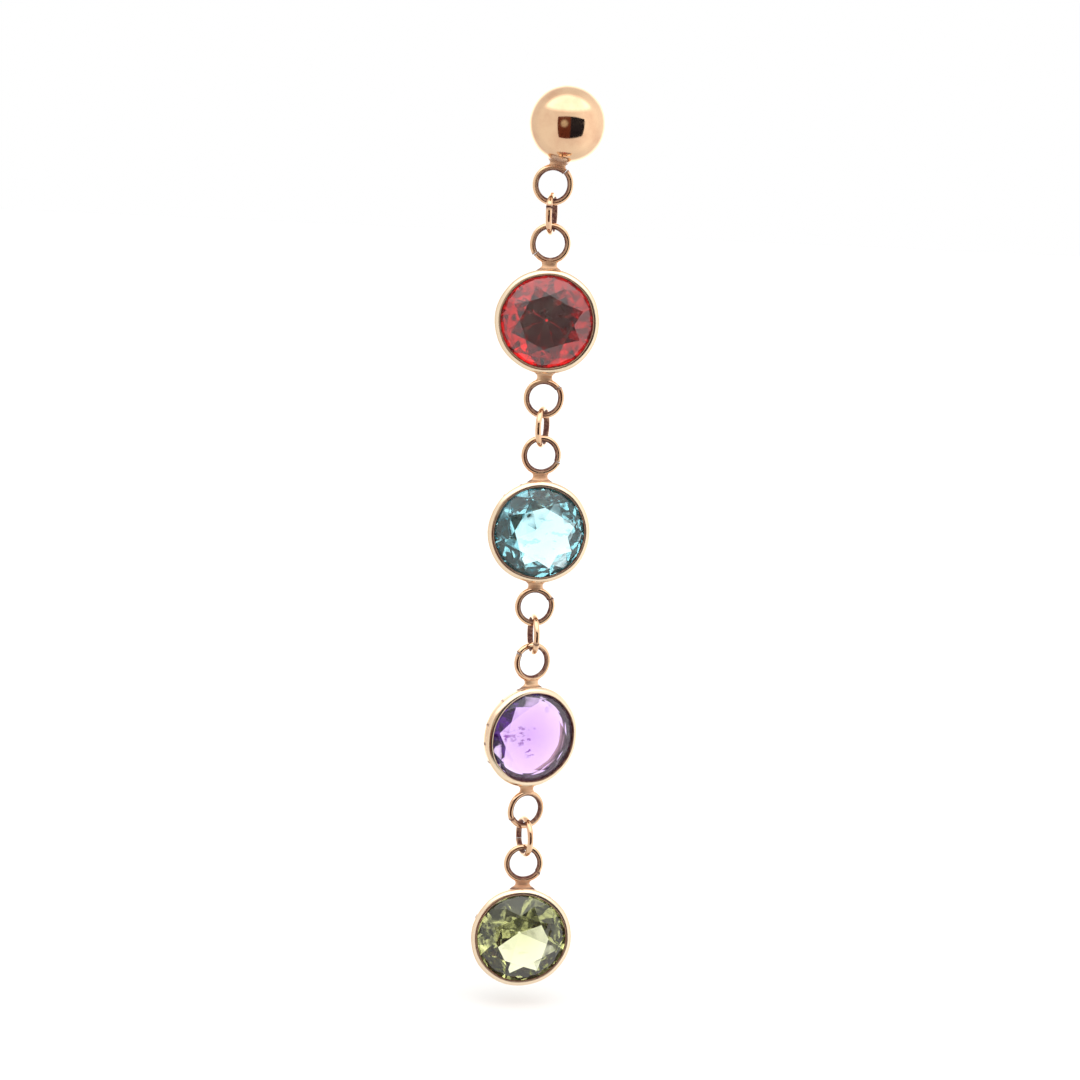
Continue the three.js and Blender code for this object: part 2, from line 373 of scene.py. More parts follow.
def loft(sections, closed_ends=True):
    """Points and faces through sections of equal point count, each a closed loop."""
    points, faces = [], []
    count = len(sections[0])
    for section in sections:
        points.extend(section)
    for row in range(len(sections) - 1):
        for k in range(count):
            n = (k + 1) % count
            a, b = row * count, (row + 1) * count
            faces.append([a + k, a + n, b + n, b + k])
    if closed_ends:
        faces.append(list(reversed(range(count))))
        faces.append([(len(sections) - 1) * count + k for k in range(count)])
    return points, faces


def point_outwards(mesh):
    """Turns every face of a closed mesh outwards."""
    work = bmesh.new()
    work.from_mesh(mesh)
    bmesh.ops.remove_doubles(work, verts=work.verts, dist=1e-8)
    bmesh.ops.recalc_face_normals(work, faces=work.faces)
    work.to_mesh(mesh)
    work.free()
    mesh.update()


def add_gold(name, points, faces, body, metal, replaces=(), sharp=None, **layers):
    """A closed piece of gold, smooth but for the edges that bend more than an angle in degrees."""
    mesh = add_mesh(name, points, faces, **layers)
    point_outwards(mesh)
    mesh.shade_smooth()
    if sharp:
        mesh.set_sharp_from_angle(angle=math.radians(sharp))
    return add_object(name, mesh, body, [metal], replaces)


def arc(centre, radius, start, end, steps):
    """Profile points on an arc, angles in degrees from the radius axis towards +y."""
    found = []
    for k in range(steps + 1):
        turn = math.radians(start + (end - start) * k / steps)
        found.append((centre[0] + radius * math.cos(turn), centre[1] + radius * math.sin(turn)))
    return found


def smooth_step(low, high, value):
    """0 below low, 1 above high, and smooth between."""
    t = min(1.0, max(0.0, (value - low) / (high - low)))
    return t * t * (3 - 2 * t)


def solder_sections(stations, depth_power=2.1, steps=28):
    """Super-elliptic sections of a solder bridge that rises along +Z, from (z, half width, half depth)."""
    sections = []
    for z, half_width, half_depth in stations:
        loop = []
        for k in range(steps):
            turn = 2 * math.pi * k / steps
            c, s = math.cos(turn), math.sin(turn)
            x = math.copysign(abs(c) ** (2 / depth_power), c) * half_width
            y = math.copysign(abs(s) ** (2 / depth_power), s) * half_depth
            loop.append(Vector((x, y, z)))
        sections.append(loop)
    return sections


def flare(z_foot, z_top, widths, depths, steps=10):
    """Stations of a concave bridge from its widths and depths at the foot, the waist and the top."""
    found = []
    for k in range(steps + 1):
        t = k / steps
        low = (1 - smooth_step(0.0, 0.62, t)) ** 1.6
        high = smooth_step(0.62, 1.0, t) ** 1.4
        halves = [
            waist / 2 + (foot - waist) / 2 * low + (top - waist) / 2 * high
            for foot, waist, top in (widths, depths)
        ]
        found.append((z_foot + (z_top - z_foot) * t, *halves))
    return found


# Materials


def new_material(name):
    """An empty node material with its shader and output."""
    material = bpy.data.materials.new(name)
    material.use_nodes = True
    tree = material.node_tree
    return material, tree, tree.nodes["Principled BSDF"]


def add_node(tree, kind, **inputs):
    """A node with its unlinked inputs set by name."""
    node = tree.nodes.new(kind)
    for key, value in inputs.items():
        node.inputs[key.replace("_", " ")].default_value = value
    return node


def ramp_between(tree, value, low, high, out_low=0.0, out_high=1.0):
    """A smooth Map Range from a socket."""
    node = tree.nodes.new("ShaderNodeMapRange")
    node.interpolation_type = "SMOOTHSTEP"
    node.inputs["From Min"].default_value = low
    node.inputs["From Max"].default_value = high
    node.inputs["To Min"].default_value = out_low
    node.inputs["To Max"].default_value = out_high
    tree.links.new(value, node.inputs["Value"])
    return node.outputs["Result"]


def feed(tree, socket, value):
    """Links a socket to another one, or sets it to a number or colour."""
    if isinstance(value, bpy.types.NodeSocket):
        tree.links.new(value, socket)
    else:
        socket.default_value = value


def mix_colours(tree, factor, first, second):
    """Mixes two colours, each a socket or three numbers, by a socket or number."""
    node = tree.nodes.new("ShaderNodeMix")
    node.data_type = "RGBA"
    feed(tree, node.inputs[0], factor)
    for index, given in ((6, first), (7, second)):
        linked = isinstance(given, bpy.types.NodeSocket)
        feed(tree, node.inputs[index], given if linked else (*given, 1.0))
    return node.outputs[2]


def mix_values(tree, factor, first, second):
    """Mixes two values, each a socket or a number, by a socket."""
    node = tree.nodes.new("ShaderNodeMix")
    node.data_type = "FLOAT"
    for index, given in ((0, factor), (2, first), (3, second)):
        feed(tree, node.inputs[index], given)
    return node.outputs[0]


def combine(tree, operation, first, second):
    """Result of a Math node on two values, each a socket or a number."""
    node = tree.nodes.new("ShaderNodeMath")
    node.operation = operation
    feed(tree, node.inputs[0], first)
    feed(tree, node.inputs[1], second)
    return node.outputs[0]


def multiply(tree, first, second):
    """Product of two values, each a socket or a number."""
    return combine(tree, "MULTIPLY", first, second)


def attribute(tree, name):
    """The value that the points carry under a name."""
    node = tree.nodes.new("ShaderNodeAttribute")
    node.attribute_name = name
    return node.outputs["Fac"]


def noise_on(tree, place, scale, detail=3.0, roughness=0.5, stretch=None):
    """Noise on the piece's own coordinates, stretched along its axes where asked."""
    if stretch is not None:
        mapping = add_node(tree, "ShaderNodeMapping", Scale=stretch)
        tree.links.new(place, mapping.inputs["Vector"])
        place = mapping.outputs["Vector"]
    node = add_node(tree, "ShaderNodeTexNoise", Scale=scale, Detail=detail, Roughness=roughness)
    tree.links.new(place, node.inputs["Vector"])
    return node.outputs["Fac"]


def gold_material(name, settings, roughness, bump_height):
    """Polished gold with faint swirls and hairlines, redder where worn, and dark in its crevices."""
    finish = settings.finish
    material, tree, shader = new_material(name)
    place = tree.nodes.new("ShaderNodeTexCoord").outputs["Object"]
    grime = attribute(tree, "grime")
    burnish_and_highlight = attribute(tree, "burnish_and_highlight")
    clouds = noise_on(tree, place, 900.0, 3.0)
    worn = ramp_between(tree, clouds, 0.35, 0.75)
    warm = mix_colours(tree, worn, tuple(finish.gold), tuple(finish.gold_deep))
    # The gold is painted paler where the burnish value is high, as a painted highlight on the lips and bands
    # of the cups
    warm = mix_colours(tree, burnish_and_highlight, warm, tuple(finish.painted_highlight_gold))
    specks = noise_on(tree, place, 5200.0, 4.0, 0.6)
    speckle_breakup = ramp_between(tree, specks, 0.30, 0.62, 0.72, 1.0)
    # The mask paints patina in crevices, and painted shade in the gaps round the stones, under the lips and
    # inside the cups
    mask = multiply(tree, grime, speckle_breakup)
    tree.links.new(mix_colours(tree, mask, warm, tuple(finish.patina_and_shade)), shader.inputs["Base Color"])

    hairs = noise_on(tree, place, 700.0, 5.0, 0.7, stretch=(1.0, 1.0, 14.0))
    polish = ramp_between(tree, hairs, 0.40, 0.72, roughness, roughness * 2.0)
    polish = mix_values(tree, burnish_and_highlight, polish, 0.22)
    tree.links.new(mix_values(tree, mask, polish, 0.7), shader.inputs["Roughness"])
    tree.links.new(mix_values(tree, mask, 1.0, 0.15), shader.inputs["Metallic"])

    bump = add_node(tree, "ShaderNodeBump", Strength=1.0, Distance=bump_height)
    waves = noise_on(tree, place, 1500.0, 2.0)
    tree.links.new(waves, bump.inputs["Height"])
    tree.links.new(bump.outputs["Normal"], shader.inputs["Normal"])
    return material


def stone_material(name, settings):
    """Clear coloured stone: the colour deepens with the light's way through it."""
    look = getattr(settings.stones, name)
    tint = tuple(look.tint)
    material, tree, shader = new_material(name)
    place = tree.nodes.new("ShaderNodeTexCoord").outputs["Object"]
    zones = noise_on(tree, place, 420.0, 2.0)
    pale = tuple(0.7 + 0.3 * channel for channel in tint)
    paler = tuple(0.8 + 0.2 * channel for channel in tint)
    clear = mix_colours(tree, ramp_between(tree, zones, 0.35, 0.7), paler, pale)
    # Feathers are thin wisps, and lie only where a slower noise lets them
    wisps = noise_on(tree, place, 1500.0, 3.0, 0.6, stretch=(0.7, 1.0, 1.6))
    patches = noise_on(tree, place, 520.0, 1.0)
    allowed = ramp_between(tree, patches, 0.46, 0.60)
    feathers = multiply(tree, ramp_between(tree, wisps, 0.585, 0.65), allowed)
    feathers = multiply(tree, feathers, look.feathers)
    flawed = mix_colours(tree, feathers, clear, tuple(0.35 * channel for channel in tint))
    tree.links.new(flawed, shader.inputs["Base Color"])
    shader.inputs["Roughness"].default_value = 0.0
    shader.inputs["IOR"].default_value = look.index
    shader.inputs["Transmission Weight"].default_value = 1.0 - look.haze
    bump = add_node(tree, "ShaderNodeBump", Strength=1.0, Distance=settings.stones.waviness)
    tree.links.new(noise_on(tree, place, 900.0, 1.0), bump.inputs["Height"])
    tree.links.new(bump.outputs["Normal"], shader.inputs["Normal"])
    absorb = tree.nodes.new("ShaderNodeVolumeAbsorption")
    absorb.inputs["Color"].default_value = (*tint, 1.0)
    absorb.inputs["Density"].default_value = look.density
    tree.links.new(absorb.outputs["Volume"], tree.nodes["Material Output"].inputs["Volume"])
    return material


def gold(name, settings):
    """The gold material of that name, made on its first use."""
    return bpy.data.materials.get(name) or gold_material(name, settings, *METALS[name])


# The stud and its nut


class EARRING_OT_stud(bpy.types.Operator):
    """Build the ball, its solder and the post"""

    bl_idname = "earring.build_stud"
    bl_label = "Stud"

    def execute(self, context):
        settings = context.scene.earring
        plan, stud, chain = Layout(settings), settings.stud, settings.chain
        sides = settings.round_sides
        radius = plan.ball_radius
        back = radius + stud.post_length
        shift = Matrix.Translation(plan.ball_centre)

        profile = [(0.0, -radius)]
        for k in range(1, sides // 2):
            turn = math.pi * k / (sides // 2)
            profile.append((radius * math.sin(turn), -radius * math.cos(turn)))
        profile.append((0.0, radius))
        points, faces = lathe(profile, sides, closed=False)
        # The torch has stained the ball round its solder
        lean = Matrix.Rotation(stud.lean, 4, "Y")
        solder_at = lean @ Vector((0.0, 0.0, -radius))
        narrow = Matrix.Diagonal((2.0, 1.0, 1.0)).to_3x3()
        full_stain, end_of_stain = 0.0008, 0.0014
        away = [(narrow @ (p - solder_at)).length for p in points]
        grime = [stud.stain * (1 - smooth_step(full_stain, end_of_stain, reach)) for reach in away]
        points = [shift @ p for p in points]
        metal = gold("polished_gold", settings)
        add_gold("stud_ball", points, faces, "stud", metal, ["ball_stud"], grime=grime)

        post = stud.post_diameter / 2
        fillet = 0.00035
        sunk, chamfer, taper = 0.00012, 0.00016, 0.00025
        start = radius - sunk
        profile = [(0.0, start)]
        for k in range(9):
            t = k / 8
            profile.append((post + fillet * (1 - t) ** 2.4, start + fillet * 1.1 * t))
        profile.append((post, back - taper))
        profile += arc((post - chamfer, back - chamfer), chamfer, 0, 80, 6)
        profile.append((0.0, back))
        points, faces = lathe(profile, 48, closed=False)
        grime = [0.75 * (1 - smooth_step(radius, radius + 0.0006, p.y)) for p in points]
        points = [shift @ p for p in points]
        metal = gold("worked_gold", settings)
        add_gold("stud_post", points, faces, "stud", metal, sharp=40, grime=grime)

        ring_bottom = chain.ring_diameter / 2 - chain.wire
        reach = plan.ball_to_ring - ring_bottom - chain.wire * 0.5
        foot = radius * 0.935
        neck, wire = stud.neck_width, chain.wire
        widths = (neck * 0.84, neck * 0.62, neck * 0.74)
        depths = (neck * 0.86, wire * 1.25, wire * 1.1)
        points, faces = loft(solder_sections(flare(-foot, -reach, widths, depths)))
        # The foot of the solder, where it meets the ball, is darker: grime in the joint and painted contact
        # shade
        spread = [abs(p.z) for p in points]
        grime = [0.5 * (1 - smooth_step(radius, radius + 0.00008, s)) for s in spread]
        points = [shift @ lean @ p for p in points]
        metal = gold("gold_solder", settings)
        add_gold("stud_solder", points, faces, "stud", metal, sharp=60, grime=grime)
        return {"FINISHED"}


class EARRING_OT_nut(bpy.types.Operator):
    """Build the nut: a pressed plate with a scroll on each side of the post"""

    bl_idname = "earring.build_nut"
    bl_label = "Nut"

    def execute(self, context):
        settings = context.scene.earring
        stud = settings.stud
        hole = stud.post_diameter / 2 + 0.00005
        outer = stud.plate_diameter / 2
        thick = stud.plate_thickness
        sheet = stud.curl_sheet
        edge = thick * 0.42
        front = stud.lobe_room / 2
        profile = [(hole, 0.00004), (hole + 0.00008, 0.0)]
        profile += [(outer * 0.80, 0.0)]
        profile += [(outer * 0.86, 0.00003), (outer - edge, 0.00002)]
        profile += arc((outer - edge, edge + 0.00002), edge, -80, 80, 10)
        profile += [(outer * 0.87, thick - 0.00002), (outer * 0.82, thick - 0.00007)]
        profile += [(outer * 0.42, thick - 0.00007), (outer * 0.36, thick)]
        profile += [(hole + 0.00006, thick), (hole, thick - 0.00005)]
        points, faces = lathe(profile, settings.round_sides)
        grime = []
        for p in points:
            reach = math.hypot(p.x, p.z)
            groove = 1 - smooth_step(0.0, outer * 0.05, abs(reach - outer * 0.84))
            near_hole = 1 - smooth_step(hole, hole + 0.0002, reach)
            grime.append(0.35 * groove + 0.6 * near_hole)
        place = Matrix.Translation(Vector((0.0, front, 0.0)))
        points = [place @ p for p in points]
        metal = gold("worked_gold", settings)
        add_gold("nut_plate", points, faces, "stud", metal, ["ear_nut"], sharp=50, grime=grime)

        half = stud.curl_width / 2
        middle = stud.curl_diameter / 2 - sheet / 2
        centre_x = hole + stud.curl_diameter / 2
        centre_y = front + thick + middle - sheet * 0.5
        steps = 64
        bead = sheet * 0.42
        for side, label in ((1, "left"), (-1, "right")):
            sections = []
            for k in range(steps + 1):
                t = k / steps
                turn = math.radians(-90 + 322 * t)
                reach = middle - 0.00009 * t * t
                along = Vector((math.cos(turn), math.sin(turn), 0.0))
                spot = Vector((centre_x, centre_y, 0.0)) + along * reach
                trim = 1 - 0.10 * smooth_step(0.55, 1.0, t)
                loop = []
                for corner_z, corner_r, first in ((1, 1, 0), (-1, 1, 1), (-1, -1, 2), (1, -1, 3)):
                    for j in range(4):
                        bend = math.radians(90 * (first + j / 3))
                        dz = corner_z * (half * trim - bead) + bead * math.cos(bend)
                        dr = corner_r * (sheet / 2 - bead) + bead * math.sin(bend)
                        loop.append(spot + along * dr + Vector((0.0, 0.0, dz)))
                if side < 0:
                    loop = [Vector((-p.x, p.y, p.z)) for p in loop]
                sections.append(loop)
            points, faces = loft(sections)
            grime = []
            for p in points:
                reach = math.hypot(abs(p.x) - centre_x, p.y - centre_y)
                grime.append(0.5 * (1 - smooth_step(middle - sheet * 0.5, middle, reach)))
            add_gold(f"nut_scroll_{label}", points, faces, "stud", metal, sharp=50, grime=grime)
        return {"FINISHED"}


# Rings and links


def wire_ring_tree():
    """A node tree that stands a bent wire ring on every point, turned by the point's attributes."""
    tree = bpy.data.node_groups.new("Wire rings", "GeometryNodeTree")
    sockets = tree.interface
    sockets.new_socket("Geometry", in_out="INPUT", socket_type="NodeSocketGeometry")
    for name in ("Ring diameter", "Wire diameter", "Seam share", "Spring"):
        sockets.new_socket(name, in_out="INPUT", socket_type="NodeSocketFloat")
    sockets.new_socket("Metal", in_out="INPUT", socket_type="NodeSocketMaterial")
    sockets.new_socket("Geometry", in_out="OUTPUT", socket_type="NodeSocketGeometry")
    nodes, link = tree.nodes, tree.links.new
    given = nodes.new("NodeGroupInput")
    made = nodes.new("NodeGroupOutput")

    def maths(operation, first, second):
        return combine(tree, operation, first, second)

    across = maths("SUBTRACT", given.outputs["Ring diameter"], given.outputs["Wire diameter"])
    circle = nodes.new("GeometryNodeCurvePrimitiveCircle")
    circle.inputs["Resolution"].default_value = 72
    link(maths("MULTIPLY", across, 0.5), circle.inputs["Radius"])

    trim = nodes.new("GeometryNodeTrimCurve")
    trim.mode = "FACTOR"
    link(circle.outputs["Curve"], trim.inputs["Curve"])
    open_end = maths("SUBTRACT", 1.0, given.outputs["Seam share"])
    link(open_end, trim.inputs[3])

    # One end of the wire has sprung out a little
    parameter = nodes.new("GeometryNodeSplineParameter")
    sprung = nodes.new("ShaderNodeMapRange")
    sprung.interpolation_type = "SMOOTHSTEP"
    sprung.inputs["From Min"].default_value = 0.86
    sprung.inputs["From Max"].default_value = 1.0
    link(parameter.outputs["Factor"], sprung.inputs["Value"])
    spring = maths("MULTIPLY", sprung.outputs["Result"], given.outputs["Spring"])
    place_now = nodes.new("GeometryNodeInputPosition")
    outward = nodes.new("ShaderNodeVectorMath")
    outward.operation = "SCALE"
    link(place_now.outputs["Position"], outward.inputs[0])
    link(spring, outward.inputs["Scale"])
    bent = nodes.new("GeometryNodeSetPosition")
    link(trim.outputs["Curve"], bent.inputs["Geometry"])
    link(outward.outputs["Vector"], bent.inputs["Offset"])

    # The cut ends of the wire are darker, as painted shade in the seam's gap
    from_middle = maths("ABSOLUTE", maths("SUBTRACT", parameter.outputs["Factor"], 0.5), 0.0)
    dark_end = nodes.new("ShaderNodeMapRange")
    dark_end.inputs["From Min"].default_value = 0.482
    dark_end.inputs["From Max"].default_value = 0.498
    link(from_middle, dark_end.inputs["Value"])
    store = nodes.new("GeometryNodeStoreNamedAttribute")
    store.data_type = "FLOAT"
    store.domain = "POINT"
    store.inputs["Name"].default_value = "grime"
    link(bent.outputs["Geometry"], store.inputs["Geometry"])
    link(dark_end.outputs["Result"], store.inputs["Value"])

    section = nodes.new("GeometryNodeCurvePrimitiveCircle")
    section.inputs["Resolution"].default_value = 18
    link(maths("MULTIPLY", given.outputs["Wire diameter"], 0.5), section.inputs["Radius"])
    tube = nodes.new("GeometryNodeCurveToMesh")
    tube.inputs["Fill Caps"].default_value = True
    link(store.outputs["Geometry"], tube.inputs["Curve"])
    link(section.outputs["Curve"], tube.inputs["Profile Curve"])

    # The inner side of the ring is darker, as painted shade
    reach = nodes.new("ShaderNodeVectorMath")
    reach.operation = "LENGTH"
    flat = nodes.new("ShaderNodeVectorMath")
    flat.operation = "MULTIPLY"
    flat.inputs[1].default_value = (1.0, 1.0, 0.0)
    link(nodes.new("GeometryNodeInputPosition").outputs["Position"], flat.inputs[0])
    link(flat.outputs["Vector"], reach.inputs[0])
    inward = maths("SUBTRACT", maths("MULTIPLY", across, 0.5), reach.outputs["Value"])
    inner_side = nodes.new("ShaderNodeMapRange")
    inner_side.interpolation_type = "SMOOTHSTEP"
    link(inward, inner_side.inputs["Value"])
    link(maths("MULTIPLY", given.outputs["Wire diameter"], 0.01), inner_side.inputs["From Min"])
    link(maths("MULTIPLY", given.outputs["Wire diameter"], 0.25), inner_side.inputs["From Max"])
    # This reads back the painted shade at the cut ends
    worn = nodes.new("GeometryNodeInputNamedAttribute")
    worn.data_type = "FLOAT"
    worn.inputs["Name"].default_value = "grime"
    inside = nodes.new("GeometryNodeStoreNamedAttribute")
    inside.data_type = "FLOAT"
    inside.domain = "POINT"
    inside.inputs["Name"].default_value = "grime"
    link(tube.outputs["Mesh"], inside.inputs["Geometry"])
    link(maths("MAXIMUM", worn.outputs["Attribute"], inner_side.outputs["Result"]), inside.inputs["Value"])
    smooth = nodes.new("GeometryNodeSetShadeSmooth")
    link(inside.outputs["Geometry"], smooth.inputs["Geometry"])
    stand = nodes.new("GeometryNodeTransform")
    stand.inputs["Rotation"].default_value = (math.pi / 2, 0.0, 0.0)
    link(smooth.outputs["Geometry"], stand.inputs["Geometry"])

    turn = nodes.new("GeometryNodeInputNamedAttribute")
    turn.data_type = "FLOAT_VECTOR"
    turn.inputs["Name"].default_value = "turn"
    rotation = nodes.new("FunctionNodeEulerToRotation")
    link(turn.outputs["Attribute"], rotation.inputs["Euler"])

    place = nodes.new("GeometryNodeInstanceOnPoints")
    link(given.outputs["Geometry"], place.inputs["Points"])
    link(stand.outputs["Geometry"], place.inputs["Instance"])
    link(rotation.outputs["Rotation"], place.inputs["Rotation"])
    real = nodes.new("GeometryNodeRealizeInstances")
    link(place.outputs["Instances"], real.inputs["Geometry"])
    paint = nodes.new("GeometryNodeSetMaterial")
    link(real.outputs["Geometry"], paint.inputs["Geometry"])
    link(given.outputs["Metal"], paint.inputs["Material"])
    link(paint.outputs["Geometry"], made.inputs["Geometry"])
    return tree


def ring_turn(yaw, seam, lean=0.0):
    """Euler angles of a ring whose seam is at an angle from +X, towards -Z, and which is then turned."""
    matrix = Matrix.Rotation(yaw, 3, "Z") @ Matrix.Rotation(lean + seam, 3, "Y")
    return matrix.to_euler("XYZ")


def build_rings(name, body, replaces, spots, diameter, settings, tree):
    """Rings on spots of (place, yaw, seam angle, lean) as one mesh on one body."""
    metal = gold("worked_gold", settings)
    carrier = bpy.data.meshes.new(name)
    carrier.from_pydata([tuple(spot[0]) for spot in spots], [], [])
    turns = carrier.attributes.new("turn", "FLOAT_VECTOR", "POINT")
    for index, (_, yaw, seam, lean) in enumerate(spots):
        turns.data[index].vector = tuple(ring_turn(yaw, seam, lean))
    holder = bpy.data.objects.new(name + "_points", carrier)
    bpy.context.scene.collection.objects.link(holder)
    modifier = holder.modifiers.new("Rings", "NODES")
    modifier.node_group = tree
    values = {
        "Ring diameter": diameter,
        "Wire diameter": settings.chain.wire,
        "Seam share": settings.chain.seam,
        "Spring": settings.chain.spring,
        "Metal": metal,
    }
    for socket in tree.interface.items_tree:
        if socket.in_out == "INPUT" and socket.name in values:
            modifier[socket.identifier] = values[socket.name]
    graph = bpy.context.evaluated_depsgraph_get()
    mesh = bpy.data.meshes.new_from_object(
        holder.evaluated_get(graph), preserve_all_data_layers=True, depsgraph=graph
    )
    if len(mesh.polygons) == 0:
        raise RuntimeError(f"{name}: the node tree made no rings")
    mesh.name = name
    mesh.set_sharp_from_angle(angle=math.radians(50))
    holder.modifiers.remove(modifier)
    bpy.data.objects.remove(holder)
    bpy.data.meshes.remove(carrier)
    return add_object(name, mesh, body, [metal], replaces)


class EARRING_OT_rings(bpy.types.Operator):
    """Build the soldered rings and the loose links"""

    bl_idname = "earring.build_rings"
    bl_label = "Rings and links"

    def execute(self, context):
        settings = context.scene.earring
        plan, chain, stones = Layout(settings), settings.chain, settings.stones
        tree = wire_ring_tree()
        quarter = math.pi / 2
        lean = settings.stud.lean

        stud_spot = [(plan.stud_ring, 0.0, math.radians(STUD_SEAM), lean)]
        build_rings("stud_ring", "stud", [], stud_spot, chain.ring_diameter, settings, tree)

        spots = [
            (place, quarter + math.radians(yaw), math.radians(seam), 0.0)
            for place, yaw, seam in zip(plan.links, LINK_YAWS, LINK_SEAMS)
        ]
        build_rings("top_link_wire", "top_link", ["link_1"], spots[:1], chain.link_diameter, settings, tree)
        lower = [f"link_{number}" for number in range(2, len(spots) + 1)]
        build_rings("drop_link_wires", "drop", lower, spots[1:], chain.link_diameter, settings, tree)

        spots = [
            (place, getattr(stones, name).yaw, math.radians(seam), 0.0)
            for (name, place), seam in zip(plan.rings, RING_SEAMS)
        ]
        build_rings("setting_rings", "drop", [], spots, chain.ring_diameter, settings, tree)
        return {"FINISHED"}


# Settings


def cup_profile(plan, settings, pavilion):
    """Profile of a cup from the inner edge of its lip round the outside and back through the bore, as
    radius, y, grime and burnish at each point."""
    cup, stones = settings.setting, settings.stones
    outer = plan.cup_radius
    visible = plan.stone_radius - cup.lip_cover
    front, under = plan.lip_front, plan.lip_under
    crest = visible + 0.000065
    rolled = outer + cup.lip_roll
    shoulder = front + cup.lip_slope
    straight_end = front + cup.straight
    rear = outer - cup.rear_inset
    seat_front = stones.girdle / 2 + cup.clearance
    relief = math.radians(2)
    seat_rear = seat_front + cup.seat_width * math.tan(pavilion + relief)
    # The third value paints shade: darkest in the gap between lip and stone and on the seat and bore behind
    # the stone, dark under the rolled lip, and faint on the back of the cup. The fourth value paints the
    # lip's face palest and the band a little paler, as a painted highlight
    rows = [
        (visible, under, 1.0, 0.0),
        (visible + 0.00001, under - 0.00003, 1.0, 0.0),
        (visible + 0.000035, front + 0.00002, 1.0, 0.0),
        (crest - 0.00001, front + 0.000008, 0.6, 0.3),
        (crest + 0.00001, front + 0.000004, 0.0, 1.0),
    ]
    # The lip's face, painted pale as a highlight, bulges a little between its crest and its shoulder
    for k in range(1, 9):
        t = k / 9
        bulge = 0.000022 * math.sin(math.pi * t)
        radius = crest + 0.00001 + (rolled - crest - 0.00003) * t + bulge * 0.6
        fall = (cup.lip_slope - 0.00002) * t ** 1.25
        rows.append((radius, front + 0.000004 + fall - bulge, 0.0, 1.0 - 0.4 * smooth_step(0.55, 1.0, t)))
    rows += [
        (rolled - 0.000006, shoulder, 0.0, 0.5),
        (rolled, shoulder + 0.00003, 0.05, 0.2),
        (rolled - 0.00001, shoulder + 0.00007, 0.4, 0.1),
        (outer, shoulder + 0.00011, 0.6, 0.1),
        (outer, shoulder + 0.00017, 0.1, 0.3),
        (outer, front + cup.straight * 0.62, 0.0, 0.35),
        (outer, straight_end - 0.00004, 0.0, 0.3),
        (outer - 0.00001, straight_end, 0.05, 0.2),
        (outer - 0.00003, straight_end + 0.00004, 0.12, 0.0),
        (outer - cup.rear_inset * 0.45, straight_end + (plan.cup_rear - straight_end) * 0.48, 0.05, 0.0),
        (rear + 0.00002, plan.cup_rear - 0.00003, 0.1, 0.0),
        (rear - 0.00002, plan.cup_rear, 0.15, 0.0),
        (rear - cup.rear_wall + 0.00002, plan.cup_rear, 0.3, 0.0),
        (rear - cup.rear_wall, plan.cup_rear - 0.00003, 0.2, 0.0),
        (plan.bore - cup.seat_width, seat_rear, 1.0, 0.0),
        (plan.bore, seat_front, 0.8, 0.0),
        (plan.bore, -seat_front, 0.5, 0.0),
    ]
    return rows


class EARRING_OT_settings(bpy.types.Operator):
    """Build the four cups and the solder between each cup and its rings"""

    bl_idname = "earring.build_settings"
    bl_label = "Settings"

    def execute(self, context):
        settings = context.scene.earring
        plan, cup, chain, stones = Layout(settings), settings.setting, settings.chain, settings.stones
        for order, name in enumerate(STONES):
            place = plan.girdle_place(name, getattr(stones, name).yaw)
            rows = cup_profile(plan, settings, getattr(stones, name).pavilion)
            sides = settings.round_sides * 3 // 2

            def hand_made(turn, index, order=order):
                return 0.000011 * math.sin(3 * turn + order) + 0.000007 * math.sin(8 * turn + 2 * order)

            points, faces = lathe([row[:2] for row in rows], sides, wobble=hand_made)
            grime = [row[2] for row in rows for _ in range(sides)]
            burnish_and_highlight = [row[3] for row in rows for _ in range(sides)]
            tabs = (1, -1) if name != STONES[-1] else (1,)
            shade_tab(points, grime, tabs, plan, settings)
            nick_band(points, grime, burnish_and_highlight, order)
            points = [place @ p for p in points]
            metal, nodes = gold("worked_gold", settings), [f"{name}_setting"]
            layers = {"grime": grime, "burnish_and_highlight": burnish_and_highlight}
            add_gold(f"{name}_cup", points, faces, "drop", metal, nodes, sharp=42, **layers)

            foot = plan.cup_radius - 0.00012
            ring_low = plan.ring_to_cup - chain.ring_diameter / 2
            top = ring_low + chain.wire * 0.55
            widths = (cup.tab_foot * 1.08, cup.tab_width * 0.92, cup.tab_width * 1.12)
            depths = [cup.tab_thickness * part for part in (1.7, 0.92, 0.98)]
            points, faces = [], []
            for side in tabs:
                some_points, some_faces = loft(solder_sections(flare(foot, top, widths, depths)))
                turn = Matrix.Rotation(0.0 if side > 0 else math.pi, 4, "Y")
                offset = len(points)
                points += [turn @ p for p in some_points]
                faces += [[c + offset for c in face] for face in some_faces]
            # The foot of each solder bridge, where it meets the cup, is darker: grime in the joint and
            # painted contact shade
            grime = [
                0.9 * (1 - smooth_step(plan.cup_radius + 0.00001, plan.cup_radius + 0.00010, abs(p.z)))
                for p in points
            ]
            back = Matrix.Translation(Vector((0.0, plan.ring_plane, 0.0)))
            points = [place @ back @ p for p in points]
            metal = gold("gold_solder", settings)
            add_gold(f"{name}_solder", points, faces, "drop", metal, sharp=60, grime=grime)
        return {"FINISHED"}


